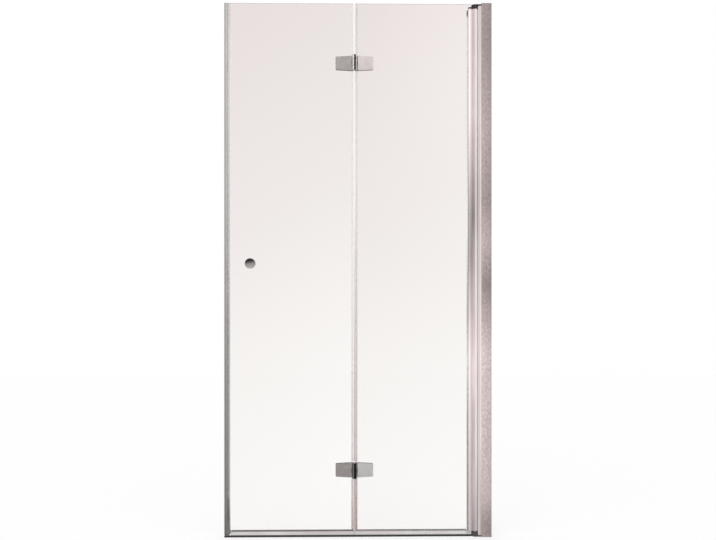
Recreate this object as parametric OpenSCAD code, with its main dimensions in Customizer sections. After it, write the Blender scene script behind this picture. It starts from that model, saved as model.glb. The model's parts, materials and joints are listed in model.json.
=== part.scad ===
// Bifold shower door: two framed glass leaves that fold inwards beside a wall channel.
// Millimetres, +Z up. z = 0 is the shower tray and y = 0 the middle of the glass.
// -Y is the room side, +Y the shower side, and the wall with the channel is at +X.

/* [Overall] */
// Width from the wall to the closing face
door_w = 950; // [800:10:1100]
// Height from the tray to the top of the wall channel
door_h = 1900; // [1750:10:2100]

/* [Glass] */
// Thickness of the panes
glass_t = 6; // [5:0.5:8]
// Height of the lower glass edge above the tray
glass_lift = 12; // [11.5:0.5:15]
// Gap between the two panes at the fold
edge_gap = 9; // [8.5:0.5:12]
// Diameter of the drilled holes
glass_hole_d = 14; // [12:0.5:16]

/* [Wall channel] */
// Depth of the channel, measured out from the wall
channel_depth = 35.5; // [30:0.5:42]
// Width of the channel across the door
channel_w = 34; // [34:1:44]
// Wall thickness of the channel
channel_wall = 2; // [1.5:0.1:2.4]
// Thickness of the plate that caps the channel
cap_t = 3; // [2:0.5:5]
// Diameter of the wall screw holes
wall_hole_d = 5.5; // [4.5:0.5:6.5]
// Distance between neighbouring wall screws
wall_hole_pitch = 560; // [400:10:600]

/* [Expander] */
// Distance of the wall pivot axis from the wall
pivot_back = 57; // [54:0.5:60]
// Distance of the expander's tail from the wall
expander_back = 17; // [12:0.5:20]
// Wall thickness of the expander
expander_wall = 1.6; // [1.3:0.1:1.8]
// Play between the expander and the channel on each side
expander_fit = 0.3; // [0.1:0.1:0.5]
// Distance of the first and last fixing screw from the ends
fixing_end = 200; // [120:10:400]

/* [Wall pivot] */
// Outer diameter of the leaf's pivot tube
tube_d = 25; // [23:0.5:26]
// Wall thickness of the pivot tube
tube_wall = 2.3; // [1.8:0.1:2.6]
// Gap between the tube and its round seat
seat_gap = 0.6; // [0.4:0.1:0.9]
// Diameter of the steel pivot pins
pin_d = 8; // [6:0.5:9]
// Radial running clearance of every pin
pin_play = 0.05; // [0.02:0.01:0.1]
// Wall thickness of the pivot bushes
bush_wall = 2.4; // [1.5:0.1:3]
// Height of the pivot blocks
block_h = 15; // [13:1:20]
// Thickness of the arms that hold the pivot blocks
arm_t = 6; // [4:0.5:8]
// Thickness of the thrust washer
thrust_t = 0.7; // [0.5:0.1:1.5]
// Thickness of the flanges on the tube plugs
flange_t = 3.7; // [3:0.1:6]
// How far the plugs reach into the tube
spigot_len = 24; // [15:1:40]

/* [Glazing] */
// Distance from the pivot axis to the mouth of the glass jaw
jaw_reach = 24; // [21:0.5:28]
// Distance from the pivot axis to the glass edge in the jaw
glass_reach = 15; // [14.8:0.1:16]
// Wall thickness of the jaw
jaw_wall = 2.1; // [1.6:0.1:2.4]
// Thickness of the rubber between glass and metal
gasket_t = 1.5; // [1:0.1:1.8]
// How far the rubber lips stand out of the metal
gasket_lip = 5.3; // [2:0.1:7]

/* [Bottom rails] */
// Height of the metal rail
rail_h = 11; // [8:0.5:16]
// How far the rubber lips stand above the metal rail
rail_lip = 4; // [2:0.1:7]
// Half width of the metal rail beyond the rubber
rail_wall = 2; // [1.5:0.1:3]
// Height of the threshold on the tray
threshold_h = 6; // [4:0.5:7]
// Depth of the threshold on the shower side
threshold_in = 9; // [8:0.5:14]
// Depth of the threshold on the room side
threshold_out = 7.5; // [7:0.5:10]
// Gap between the wipers and the threshold
wiper_gap = 0.4; // [0.3:0.1:1]
// Thickness of the plastic end caps
end_cap_t = 2; // [1.5:0.5:3]

/* [Edge seals] */
// Wall thickness of the clear seals
seal_wall = 1; // [0.8:0.1:1.3]
// How far the clear seals grip over the glass at the fold
seal_grip = 6.5; // [5:0.5:9]
// Space between the two fold seals
seal_gap = 0.6; // [0.4:0.1:1]
// Length of the magnetic seal's head beyond its web
magnet_head = 8.8; // [7:0.1:11]
// Half depth of the magnetic seal's head
magnet_half = 5.5; // [5:0.1:6.5]
// How far the magnetic seal grips over the glass
magnet_grip = 11.5; // [8:0.5:15]

/* [Fold hinges] */
// Distance of the upper hinge from the top
hinge_from_top = 213; // [150:1:400]
// Distance of the lower hinge from the tray
hinge_from_tray = 237; // [150:1:400]
// Distance of the hinge pin in front of the glass face
hinge_stand = 11; // [10.6:0.1:12]
// Outer diameter of the knuckles
knuckle_d = 17; // [14:0.5:17.5]
// Height of the whole knuckle
knuckle_h = 54; // [52:1:64]
// Diameter of the hinge pins
hinge_pin_d = 7; // [5:0.5:8]
// Length of the middle knuckle
barrel_len = 22; // [16:1:28]
// Thickness of the washers between the knuckles
hinge_washer_t = 0.8; // [0.5:0.1:1.5]
// Length of each wing from the pin
wing_len = 67; // [60:1:80]
// Height of the wings beside the knuckles
wing_h = 52; // [48:1:60]
// Height of the wings at their outer ends
wing_end_h = 46; // [36:1:48]
// Thickness of the wings beside the knuckles
wing_t = 8.2; // [7.5:0.1:8.8]
// Thickness of the wings at their outer ends
wing_end_t = 5.2; // [4.8:0.1:7]
// Radius of the crowned front of the wings
crown_r = 136; // [110:2:300]
// How far the scoop beside the knuckle reaches from the pin
scoop_reach = 12; // [10:0.5:14]
// Radius of the scoop where it meets the wing's front
scoop_r = 52; // [40:1:70]
// Angle at which the scoop meets the wing's front
scoop_lean = 24; // [15:1:26]
// Thickness of the plates on the shower side
clamp_t = 6; // [5:0.5:8]
// Thickness of the pads between hinge and glass
pad_t = 0.8; // [0.5:0.1:1]
// Corner radius of the wings
wing_r = 4; // [2:0.5:8]
// Distance from the pin to the nearer clamp screw
screw_near = 27; // [25:0.5:32]
// Distance from the pin to the farther clamp screw
screw_far = 53; // [48:0.5:56]
// Diameter of the clamp screws
screw_d = 5; // [4:0.5:6]

/* [Knob] */
// Diameter of the knob on the room side
knob_d = 37; // [28:1:45]
// How far the knob on the room side stands out of its washer
knob_len = 25; // [20:1:28]
// Diameter of the knob on the shower side
inner_knob_d = 31; // [26:1:45]
// How far the knob on the shower side stands out of its washer
inner_knob_len = 16; // [14:1:28]
// How far the face of a knob swells in its middle
knob_crown = 2.4; // [1:0.1:3]
// Diameter of the knob necks
knob_neck_d = 17; // [14:1:24]
// Distance of the knob from the closing face
knob_inset = 93; // [70:1:140]
// Height of the knob above the tray
knob_height = 973; // [850:1:1100]
// Thickness of the washers under the knobs
knob_washer_t = 1; // [0.5:0.1:2]
// Diameter of the stud that joins the knobs
stud_d = 6; // [5:0.5:8]

/* [Hidden] */
$fn = 96;

// Small clearances shared by many pieces
slip = 0.1;
press = 0.02;
run = 0.3;

// Main planes
wall_x = door_w / 2;
close_x = -door_w / 2;
channel_top = door_h - cap_t;
glass_half = glass_t / 2;
glass_top = door_h;

// Wall side, in plan
channel_x = wall_x - channel_depth;
channel_half = channel_w / 2;
channel_in = channel_half - channel_wall;
pivot_x = wall_x - pivot_back;
tube_r = tube_d / 2;
tube_in = tube_r - tube_wall;
seat_r = tube_r + seat_gap;
disc_r = tube_r + seat_gap - slip;
expander_half = channel_in - expander_fit;
expander_x = wall_x - expander_back;
lip_x = pivot_x + 9.5;
nose_drop = 4;
nose_len = 6.5;
boss_r = 3.3;
block_screw_x = expander_x - 12;
block_screw_r = 2;
block_screw_len = 18;
head_depth = 2;
fixing_x = expander_x - 7;
fixing_r = 1.9;
fixing_len = 9;
fixing_head_r = 3.6;
fixing_head_t = 1.8;
cover_r = 5.5;
cover_t = 3.5;
fixing_z = [fixing_end, door_h / 2, door_h - fixing_end];
wall_hole_z = [for (i = [-1.5:1:1.5]) door_h / 2 + i * wall_hole_pitch];

// Wall pivot, in height
arm_half = channel_in - 1.5;
bush_r = pin_d / 2 + pin_play;
bush_out = bush_r + bush_wall;
bush_len = block_h - 3;
flange_z = block_h + thrust_t + slip;
profile_z0 = flange_z + flange_t;
profile_z1 = channel_top - profile_z0;
pin_len_in = 18;
pin_tip = 1.5;

// Glazing
jaw_in = glass_half + gasket_t;
jaw_half = jaw_in + jaw_wall;
jaw_x = pivot_x - jaw_reach;
jaw_glass_x = pivot_x - glass_reach;
jaw_floor_x = jaw_glass_x + gasket_t;
lip_flare = 0.7;
lip_tip = 0.6;
clip_back = pivot_x - disc_r - run;

// Fold and panes, in plan
fold_x = -13;
fold_y = -glass_half - hinge_stand;
pivot_edge = fold_x + edge_gap / 2;
folding_edge = fold_x - edge_gap / 2;
magnet_web = 1.7;
closing_edge = close_x + magnet_head + magnet_web;
magnet_clip_x = closing_edge + magnet_grip;

// Bottom rails
rail_floor = glass_lift - gasket_t;
rail_z = rail_floor - rail_wall;
rail_top = rail_z + rail_h;
rail_half = jaw_in + rail_wall;
rail_lip_z = rail_top + rail_lip;
pivot_rail_x0 = fold_x + seal_gap / 2 + end_cap_t;
pivot_rail_x1 = jaw_x - gasket_lip - run - end_cap_t;
folding_rail_x0 = magnet_clip_x + run + end_cap_t;
folding_rail_x1 = fold_x - seal_gap / 2 - end_cap_t;
threshold_x1 = pivot_x - disc_r - run;

// Fold hinges
hinge_z = [hinge_from_tray, door_h - hinge_from_top];
knuckle_r = knuckle_d / 2;
knuckle_gap = 0.6;
wing_back = glass_half + pad_t;
wing_start = 0.4;
clamp_start = 3;
barrel_half = barrel_len / 2;
lug_z = barrel_half + hinge_washer_t + 2 * slip;
pin_cap_t = 1;
pin_cap_r = knuckle_r - 1;
sink = 0.2;
screw_head_r = screw_d;
screw_head_h = screw_d / 2;
socket_r = screw_d / 2.8;
screw_blind = wing_back + wing_end_t - 1.2;
pad_inset = 0.5;
seal_clear = 3;

// Knob
knob_x = close_x + knob_inset;
knob_neck_r = knob_neck_d / 2;
knob_back = glass_half + knob_washer_t;
knob_round = 2.5;

// ---- Shared shapes ----

module rise(z0, z1) translate([0, 0, z0]) linear_extrude(z1 - z0) children();

module rect(x0, x1, y0, y1) translate([x0, y0]) square([x1 - x0, y1 - y0]);

// Extrudes an outline drawn in X and Z through the door, from y0 to y1
module through(y0, y1) translate([0, y1, 0]) rotate([90, 0, 0]) linear_extrude(y1 - y0) children();

// Extrudes an outline drawn in Y and Z along the door, from x0 to x1
module along(x0, x1) {
    translate([x0, 0, 0])
        rotate([90, 0, 90])
            linear_extrude(x1 - x0)
                children();
}

// A round bar or hole through the door at x, z
module bar_y(x, z, r, y0, y1) {
    translate([x, y1, z])
        rotate([90, 0, 0])
            cylinder(r = r, h = y1 - y0);
}

// Turns a shape made for the tray end over to the top end
module top_end() translate([0, 0, channel_top]) mirror([0, 0, 1]) children();

// ---- Wall channel and expander ----

module wall_channel() {
    color([0.74, 0.70, 0.69])
        difference() {
            rise(0, channel_top)
                difference() {
                    rect(channel_x, wall_x, -channel_half, channel_half);
                    rect(channel_x - 1, wall_x - channel_wall, -channel_in, channel_in);
                }
            for (z = wall_hole_z)
                translate([wall_x - channel_wall - 1, 0, z])
                    rotate([0, 90, 0])
                        cylinder(d = wall_hole_d, h = channel_wall + 2);
            for (z = fixing_z)
                bar_y(fixing_x, z, fixing_r + run, channel_in - 1, channel_half + 1);
        }
}

module channel_cap() {
    spigot = 12;
    color([0.62, 0.59, 0.58])
        union() {
            rise(channel_top, door_h)
                rect(channel_x, wall_x, -channel_half, channel_half);
            rise(channel_top - spigot, channel_top)
                rect(expander_x + 2, wall_x - channel_wall - slip, -arm_half, arm_half);
        }
}

module expander_outline() {
    difference() {
        polygon([
            [expander_x, -expander_half], [lip_x + nose_len, -expander_half],
            [lip_x, -expander_half + nose_drop], [lip_x, expander_half - nose_drop],
            [lip_x + nose_len, expander_half], [expander_x, expander_half]
        ]);
        translate([pivot_x, 0]) circle(seat_r);
        difference() {
            rect(lip_x + nose_len, expander_x - expander_wall,
                -expander_half + expander_wall, expander_half - expander_wall);
            translate([pivot_x, 0]) circle(seat_r + expander_wall);
            translate([block_screw_x, 0]) circle(boss_r);
            rect(block_screw_x - expander_wall / 2, block_screw_x + expander_wall / 2,
                -expander_half, expander_half);
        }
        translate([block_screw_x, 0]) circle(block_screw_r + press);
    }
}

module expander() {
    color([0.84, 0.81, 0.80])
        difference() {
            rise(arm_t, channel_top - arm_t) expander_outline();
            for (z = fixing_z)
                bar_y(fixing_x, z, fixing_r + press,
                    expander_half - expander_wall - 1, expander_half + 1);
        }
}

module expander_screws() {
    color([0.80, 0.80, 0.82])
        for (z = fixing_z) {
            bar_y(fixing_x, z, fixing_r, channel_half - fixing_len, channel_half);
            difference() {
                bar_y(fixing_x, z, fixing_head_r, channel_half, channel_half + fixing_head_t);
                through(channel_half + 0.8, channel_half + fixing_head_t + 1)
                    translate([fixing_x, z]) {
                        square([fixing_head_r, 0.8], center = true);
                        square([0.8, fixing_head_r], center = true);
                    }
            }
        }
}

module screw_covers() {
    color([0.86, 0.86, 0.86])
        for (z = fixing_z)
            difference() {
                bar_y(fixing_x, z, cover_r, channel_half, channel_half + cover_t);
                bar_y(fixing_x, z, fixing_head_r + slip,
                    channel_half - 1, channel_half + fixing_head_t + slip);
            }
}

// ---- Wall pivot ----

// The block at the tray end, round under the leaf with an arm into the channel
module pivot_block() {
    difference() {
        union() {
            translate([pivot_x, 0, 0]) cylinder(r = disc_r, h = block_h);
            rise(0, arm_t) rect(pivot_x, expander_x, -arm_half, arm_half);
        }
        translate([pivot_x, 0, block_h - bush_len])
            cylinder(r = bush_out + press, h = bush_len + 1);
        translate([block_screw_x, 0, -1])
            cylinder(r = block_screw_r + slip, h = arm_t + 2);
        translate([block_screw_x, 0, -press])
            cylinder(r1 = block_screw_r + head_depth + slip, r2 = block_screw_r + slip,
                h = head_depth + press);
    }
}

module bottom_pivot_block() color([0.07, 0.07, 0.08]) pivot_block();

module top_pivot_block() color([0.07, 0.07, 0.08]) top_end() pivot_block();

module block_screw() {
    socket = 2.2;
    translate([block_screw_x, 0, sink])
        difference() {
            union() {
                cylinder(r1 = block_screw_r + head_depth - sink, r2 = block_screw_r,
                    h = head_depth - sink);
                cylinder(r = block_screw_r, h = block_screw_len);
            }
            translate([0, 0, -1]) cylinder(r = socket, h = 1.9, $fn = 6);
        }
}

module block_screws() {
    color([0.75, 0.75, 0.77]) {
        block_screw();
        top_end() block_screw();
    }
}

module bush() {
    translate([pivot_x, 0, block_h - bush_len])
        difference() {
            cylinder(r = bush_out, h = bush_len);
            translate([0, 0, -1]) cylinder(r = bush_r, h = bush_len + 2);
        }
}

module pivot_bushes() {
    color([0.92, 0.91, 0.86]) {
        bush();
        top_end() bush();
    }
}

module thrust_washer() {
    color([0.92, 0.91, 0.86])
        translate([pivot_x, 0, block_h])
            difference() {
                cylinder(r = tube_in, h = thrust_t);
                translate([0, 0, -1]) cylinder(r = bush_r + run, h = thrust_t + 2);
            }
}

module carrier_outline() {
    difference() {
        union() {
            translate([pivot_x, 0]) circle(tube_r);
            rect(jaw_x, pivot_x, -jaw_half, jaw_half);
        }
        translate([pivot_x, 0]) circle(tube_in);
        rect(jaw_x - 1, jaw_floor_x, -jaw_in, jaw_in);
    }
}

module carrier_profile() {
    color([0.86, 0.83, 0.82]) rise(profile_z0, profile_z1) carrier_outline();
}

// Rubber around a glass edge, as [distance from the mouth, half thickness] steps
module gasket_outline(depth) {
    polygon([
        [-gasket_lip, glass_half], [-gasket_lip, glass_half + lip_tip],
        [0, jaw_in + lip_flare], [0, jaw_in], [depth, jaw_in], [depth, -jaw_in],
        [0, -jaw_in], [0, -jaw_in - lip_flare], [-gasket_lip, -glass_half - lip_tip],
        [-gasket_lip, -glass_half], [depth - gasket_t, -glass_half],
        [depth - gasket_t, glass_half]
    ]);
}

module glazing_gasket() {
    color([0.58, 0.56, 0.55])
        rise(profile_z0, profile_z1)
            translate([jaw_x, 0]) gasket_outline(jaw_floor_x - jaw_x);
}

// The plug that closes the tray end of the tube; its jaw closes the glass jaw as well
module tube_plug(with_jaw) {
    pin_hole = pin_d / 2 + press;
    difference() {
        union() {
            translate([pivot_x, 0, flange_z]) cylinder(r = tube_r, h = flange_t);
            translate([pivot_x, 0, profile_z0]) cylinder(r = tube_in - slip, h = spigot_len);
            if (with_jaw) {
                rise(flange_z, profile_z0) rect(jaw_x, pivot_x, -jaw_half, jaw_half);
                rise(rail_z, profile_z0) rect(jaw_x, clip_back, -jaw_half, jaw_half);
            }
        }
        if (with_jaw)
            rise(rail_z - 1, profile_z0 + 1)
                rect(jaw_x - 1, jaw_glass_x + slip, -glass_half - slip, glass_half + slip);
        translate([pivot_x, 0, flange_z - 1])
            cylinder(r = pin_hole, h = profile_z0 - flange_z + 1 + pin_len_in);
    }
}

module bottom_plug() color([0.08, 0.08, 0.09]) tube_plug(false);

module top_plug() color([0.08, 0.08, 0.09]) top_end() tube_plug(true);

module pivot_pin() {
    z0 = block_h - bush_len + pin_tip;
    z1 = profile_z0 + pin_len_in - slip;
    translate([pivot_x, 0, z0]) cylinder(d = pin_d, h = z1 - z0);
}

module pivot_pins() {
    color([0.78, 0.78, 0.80]) {
        pivot_pin();
        top_end() pivot_pin();
    }
}

// ---- Threshold on the tray ----

tongue_z = threshold_h / 2;
tongue_half = 0.9;
tongue_len = 2.4;
seal_back = -3;
ramp_edge = 1.2;

module threshold() {
    color([0.80, 0.79, 0.79])
        along(close_x + end_cap_t, threshold_x1)
            difference() {
                polygon([
                    [seal_back, 0], [threshold_in, 0], [threshold_in, ramp_edge],
                    [2.5, threshold_h - 0.6], [seal_back, threshold_h - 0.6]
                ]);
                rect(seal_back - 1, seal_back + tongue_len + slip,
                    tongue_z - tongue_half - slip, tongue_z + tongue_half + slip);
            }
}

module threshold_seal() {
    color([0.10, 0.09, 0.10])
        along(close_x + end_cap_t, threshold_x1)
            union() {
                polygon([
                    [-threshold_out, 0], [seal_back, 0], [seal_back, threshold_h],
                    [-threshold_out + 1.5, threshold_h], [-threshold_out, threshold_h - 1]
                ]);
                rect(seal_back - 1, seal_back + tongue_len,
                    tongue_z - tongue_half, tongue_z + tongue_half);
            }
}

module threshold_end_cap() {
    color([0.12, 0.11, 0.12])
        along(close_x, close_x + end_cap_t)
            polygon([
                [-threshold_out, 0], [threshold_in, 0], [threshold_in, ramp_edge],
                [2.5, threshold_h], [-threshold_out + 1.5, threshold_h],
                [-threshold_out, threshold_h - 1]
            ]);
}

// ---- Glass panes ----

module pane(x0, x1) {
    through(-glass_half, glass_half) rect(x0, x1, glass_lift, glass_top);
}

// The drilled holes of one pane: side is 1 for the pivot leaf, -1 for the folding leaf
module hinge_holes(side) {
    for (z = hinge_z)
        for (u = [screw_near, screw_far])
            bar_y(fold_x + side * u, z, glass_hole_d / 2, -glass_half - 1, glass_half + 1);
}

module pivot_glass() {
    color([0.90, 0.93, 0.92, 0.35])
        difference() {
            pane(pivot_edge, jaw_glass_x);
            hinge_holes(1);
        }
}

module folding_glass() {
    color([0.90, 0.93, 0.92, 0.35])
        difference() {
            pane(closing_edge, folding_edge);
            hinge_holes(-1);
            bar_y(knob_x, knob_height, glass_hole_d / 2, -glass_half - 1, glass_half + 1);
        }
}

module sleeve(x, z, bore_r) {
    difference() {
        bar_y(x, z, glass_hole_d / 2 - slip, -glass_half, glass_half);
        bar_y(x, z, bore_r, -glass_half - 1, glass_half + 1);
    }
}

module hinge_sleeves(side) {
    for (z = hinge_z)
        for (u = [screw_near, screw_far])
            sleeve(fold_x + side * u, z, screw_d / 2 + slip);
}

module pivot_glass_sleeves() color([0.88, 0.88, 0.86]) hinge_sleeves(1);

module folding_glass_sleeves() {
    color([0.88, 0.88, 0.86]) {
        hinge_sleeves(-1);
        sleeve(knob_x, knob_height, stud_d / 2 + slip);
    }
}

// ---- Bottom rails ----

module rail(x0, x1) {
    color([0.82, 0.80, 0.80])
        along(x0, x1)
            difference() {
                rect(-rail_half, rail_half, rail_z, rail_top);
                rect(-jaw_in, jaw_in, rail_floor, rail_top + 1);
            }
}

module rail_gasket(x0, x1) {
    color([0.50, 0.47, 0.48])
        along(x0, x1)
            polygon([
                [glass_half, rail_lip_z], [glass_half + lip_tip, rail_lip_z],
                [jaw_in + lip_flare, rail_top], [jaw_in, rail_top], [jaw_in, rail_floor],
                [-jaw_in, rail_floor], [-jaw_in, rail_top], [-jaw_in - lip_flare, rail_top],
                [-glass_half - lip_tip, rail_lip_z], [-glass_half, rail_lip_z],
                [-glass_half, glass_lift], [glass_half, glass_lift]
            ]);
}

module rail_wiper(x0, x1) {
    root = 2.5;
    blade = 0.8;
    color([0.85, 0.85, 0.84])
        along(x0, x1)
            polygon([
                [-root, rail_z], [root, rail_z], [root, rail_z - 0.8], [blade, rail_z - 1],
                [blade / 2, threshold_h + wiper_gap], [-blade / 2, threshold_h + wiper_gap],
                [-blade, rail_z - 1], [-root, rail_z - 0.8]
            ]);
}

// One end cap of a rail; the glass may run on through it
module rail_cap(x0, x1, top, open) {
    along(x0, x1)
        difference() {
            rect(-rail_half, rail_half, rail_z, top);
            if (open)
                rect(-glass_half - slip, glass_half + slip, glass_lift - slip, top + 1);
        }
}

module pivot_rail() rail(pivot_rail_x0, pivot_rail_x1);

module pivot_rail_gasket() rail_gasket(pivot_rail_x0, pivot_rail_x1);

module pivot_rail_wiper() rail_wiper(pivot_rail_x0, pivot_rail_x1);

// The cap at the wall side reaches on under the jaw and closes it
module pivot_rail_caps() {
    jaw_end = pivot_rail_x1 + end_cap_t;
    color([0.80, 0.79, 0.79]) {
        rail_cap(pivot_rail_x0 - end_cap_t, pivot_rail_x0, rail_top, false);
        union() {
            rail_cap(pivot_rail_x1, jaw_end, rail_top, true);
            rail_cap(jaw_end, jaw_glass_x + slip, profile_z0, true);
            rail_cap(jaw_glass_x + slip, clip_back, profile_z0, false);
        }
    }
}

module folding_rail() rail(folding_rail_x0, folding_rail_x1);

module folding_rail_gasket() rail_gasket(folding_rail_x0, folding_rail_x1);

module folding_rail_wiper() rail_wiper(folding_rail_x0, folding_rail_x1);

module folding_rail_caps() {
    color([0.80, 0.79, 0.79]) {
        rail_cap(folding_rail_x0 - end_cap_t, folding_rail_x0, rail_top, true);
        rail_cap(folding_rail_x1, folding_rail_x1 + end_cap_t, rail_top, false);
    }
}

// ---- Edge seals ----

// A clip over one glass edge with a soft bulb, drawn for the pivot leaf from the fold plane
module meeting_seal_outline() {
    edge = edge_gap / 2;
    clip_half = glass_half + seal_wall;
    bulb_x0 = seal_gap / 2;
    bulb_r = (edge - bulb_x0) / 2;
    difference() {
        union() {
            rect(edge - seal_wall, edge + seal_grip, -clip_half, clip_half);
            translate([bulb_x0 + bulb_r, 0]) circle(bulb_r);
        }
        rect(edge, edge + seal_grip + 1, -glass_half, glass_half);
        translate([bulb_x0 + bulb_r, 0]) circle(bulb_r - seal_wall * 0.8);
    }
}

// The seal is left out beside the hinges
module meeting_seal(side) {
    half = knuckle_h / 2 + seal_clear;
    stops = [rail_lip_z + run, hinge_z[0] - half, hinge_z[0] + half,
        hinge_z[1] - half, hinge_z[1] + half, glass_top];
    color([0.84, 0.83, 0.83])
        for (i = [0:2:4])
            rise(stops[i], stops[i + 1])
                translate([fold_x, 0])
                    mirror([side < 0 ? 1 : 0, 0])
                        meeting_seal_outline();
}

module pivot_meeting_seal() meeting_seal(1);

module folding_meeting_seal() meeting_seal(-1);

magnet_wall = seal_wall + 0.1;
magnet_clip_half = glass_half + seal_wall + 0.2;
magnet_web_x = closing_edge - magnet_web;
magnet_end_t = 1;
magnet_z0 = glass_lift;
magnet_z1 = glass_top - magnet_end_t;
magnet_room_x = magnet_web_x - magnet_wall;

module magnetic_seal_outline() {
    difference() {
        union() {
            rect(close_x, magnet_web_x, -magnet_half, magnet_half);
            rect(magnet_web_x, magnet_clip_x, -magnet_clip_half, magnet_clip_half);
        }
        rect(closing_edge, magnet_clip_x + 1, -glass_half, glass_half);
        rect(close_x + magnet_wall, magnet_room_x, -magnet_half + magnet_wall,
            magnet_half - magnet_wall);
    }
}

module magnetic_seal() {
    color([0.66, 0.66, 0.66]) rise(magnet_z0, magnet_z1) magnetic_seal_outline();
}

module magnet_strip() {
    half = magnet_half - magnet_wall - slip;
    color([0.25, 0.25, 0.26])
        rise(magnet_z0, magnet_z1)
            rect(close_x + magnet_wall + slip, magnet_room_x - slip, -half, half);
}

module magnetic_seal_ends() {
    color([0.55, 0.55, 0.55])
        for (z = [magnet_z0 - magnet_end_t, magnet_z1])
            rise(z, z + magnet_end_t)
                rect(close_x, magnet_web_x, -magnet_half, magnet_half);
}

// ---- Fold hinges ----

// Outline of a wing seen from the front, from the pin outwards
module wing_outline(u0, inset) {
    end = wing_len - inset;
    h0 = wing_h / 2 - inset;
    h1 = wing_end_h / 2 - inset;
    polygon([[u0, -h0], [end - wing_r, -h1], [end - wing_r, h1], [u0, h0]]);
    rect(end - wing_r, end, -h1 + wing_r, h1 - wing_r);
    for (s = [-1, 1])
        translate([end - wing_r, s * (h1 - wing_r)]) circle(wing_r);
}

// Places a hinge shape at a hinge, for the pivot leaf (1) or turned for the folding leaf (-1)
module at_hinge(z, side) {
    translate([fold_x, 0, z]) mirror([side < 0 ? 1 : 0, 0, 0]) children();
}

// A flat-backed wing with a crowned front that thins outwards, scooped beside the knuckle
module wing_body() {
    slope = atan((wing_t - wing_end_t) / (wing_len - knuckle_r));
    front = -wing_back - wing_t;
    difference() {
        intersection() {
            through(front - 1, -wing_back) wing_outline(wing_start, 0);
            translate([knuckle_r, front, 0])
                rotate([0, 0, slope])
                    translate([-wing_len, crown_r, 0])
                        rotate([0, 90, 0])
                            cylinder(r = crown_r, h = 3 * wing_len);
        }
        translate([scoop_reach - scoop_r, front - scoop_r / tan(scoop_lean), 0])
            sphere(r = scoop_r / sin(scoop_lean));
    }
}

module knuckle(r, z0, z1) translate([0, fold_y, z0]) cylinder(r = r, h = z1 - z0);

module blind_screw_holes() {
    for (u = [screw_near, screw_far])
        bar_y(u, 0, screw_d / 2 + press, -screw_blind, 0);
}

// The wing on the pivot leaf carries the upper and lower knuckles and holds the pin
module fixed_wing(z) {
    end = knuckle_h / 2;
    color([0.77, 0.75, 0.74])
        at_hinge(z, 1)
            difference() {
                union() {
                    difference() {
                        wing_body();
                        knuckle(knuckle_r + knuckle_gap, -lug_z, lug_z);
                    }
                    knuckle(knuckle_r, lug_z, end);
                    knuckle(knuckle_r, -end, -lug_z);
                }
                knuckle(hinge_pin_d / 2 + press, -end - 1, end + 1);
                blind_screw_holes();
            }
}

// The wing on the folding leaf turns on the pin with the middle knuckle
module swing_wing(z) {
    end = knuckle_h / 2 + 1;
    color([0.68, 0.66, 0.65])
        at_hinge(z, -1)
            difference() {
                union() {
                    difference() {
                        wing_body();
                        knuckle(knuckle_r + knuckle_gap, barrel_half, end);
                        knuckle(knuckle_r + knuckle_gap, -end, -barrel_half);
                    }
                    knuckle(knuckle_r, -barrel_half, barrel_half);
                }
                knuckle(hinge_pin_d / 2 + pin_play, -barrel_half - 1, barrel_half + 1);
                blind_screw_holes();
            }
}

module clamp(z, side) {
    front = wing_back + clamp_t;
    color([0.74, 0.73, 0.73])
        at_hinge(z, side)
            difference() {
                through(wing_back, front) wing_outline(clamp_start, 0);
                for (u = [screw_near, screw_far]) {
                    bar_y(u, 0, screw_d / 2 + slip, wing_back - 1, front + 1);
                    translate([u, front - screw_head_h, 0])
                        rotate([-90, 0, 0])
                            cylinder(r1 = screw_d / 2 + slip, r2 = screw_head_r + slip,
                                h = screw_head_h + press);
                }
            }
}

module pads(z, side) {
    color([0.30, 0.30, 0.30])
        at_hinge(z, side)
            for (y = [-wing_back, glass_half])
                difference() {
                    through(y, y + pad_t) wing_outline(edge_gap / 2 + 1, pad_inset);
                    for (u = [screw_near, screw_far])
                        bar_y(u, 0, screw_d / 2 + slip, y - 1, y + pad_t + 1);
                }
}

module clamp_screws(z, side) {
    front = wing_back + clamp_t - sink;
    socket_depth = screw_head_h * 0.8;
    color([0.72, 0.72, 0.73])
        at_hinge(z, side)
            for (u = [screw_near, screw_far])
                difference() {
                    union() {
                        bar_y(u, 0, screw_d / 2, -screw_blind + slip, front);
                        translate([u, front - screw_head_h + sink, 0])
                            rotate([-90, 0, 0])
                                cylinder(r1 = screw_d / 2, r2 = screw_head_r - sink,
                                    h = screw_head_h - sink);
                    }
                    translate([u, front - socket_depth, 0])
                        rotate([-90, 0, 0])
                            cylinder(r = socket_r, h = socket_depth + 1, $fn = 6);
                }
}

module hinge_pin(z) {
    end = knuckle_h / 2;
    color([0.80, 0.80, 0.81])
        at_hinge(z, 1) {
            knuckle(hinge_pin_d / 2, -end, end);
            knuckle(pin_cap_r, end, end + pin_cap_t);
        }
}

module hinge_pin_caps() {
    end = knuckle_h / 2;
    color([0.80, 0.80, 0.81])
        for (z = hinge_z)
            at_hinge(z, 1) knuckle(pin_cap_r, -end - pin_cap_t, -end);
}

module hinge_washers() {
    color([0.90, 0.89, 0.86])
        for (z = hinge_z)
            at_hinge(z, 1)
                for (z0 = [barrel_half + slip, -barrel_half - slip - hinge_washer_t])
                    difference() {
                        knuckle(knuckle_r - run, z0, z0 + hinge_washer_t);
                        knuckle(hinge_pin_d / 2 + pin_play, z0 - 1,
                            z0 + hinge_washer_t + 1);
                    }
}

module lower_fixed_wing() fixed_wing(hinge_z[0]);

module upper_fixed_wing() fixed_wing(hinge_z[1]);

module lower_swing_wing() swing_wing(hinge_z[0]);

module upper_swing_wing() swing_wing(hinge_z[1]);

module lower_fixed_clamp() clamp(hinge_z[0], 1);

module upper_fixed_clamp() clamp(hinge_z[1], 1);

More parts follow.
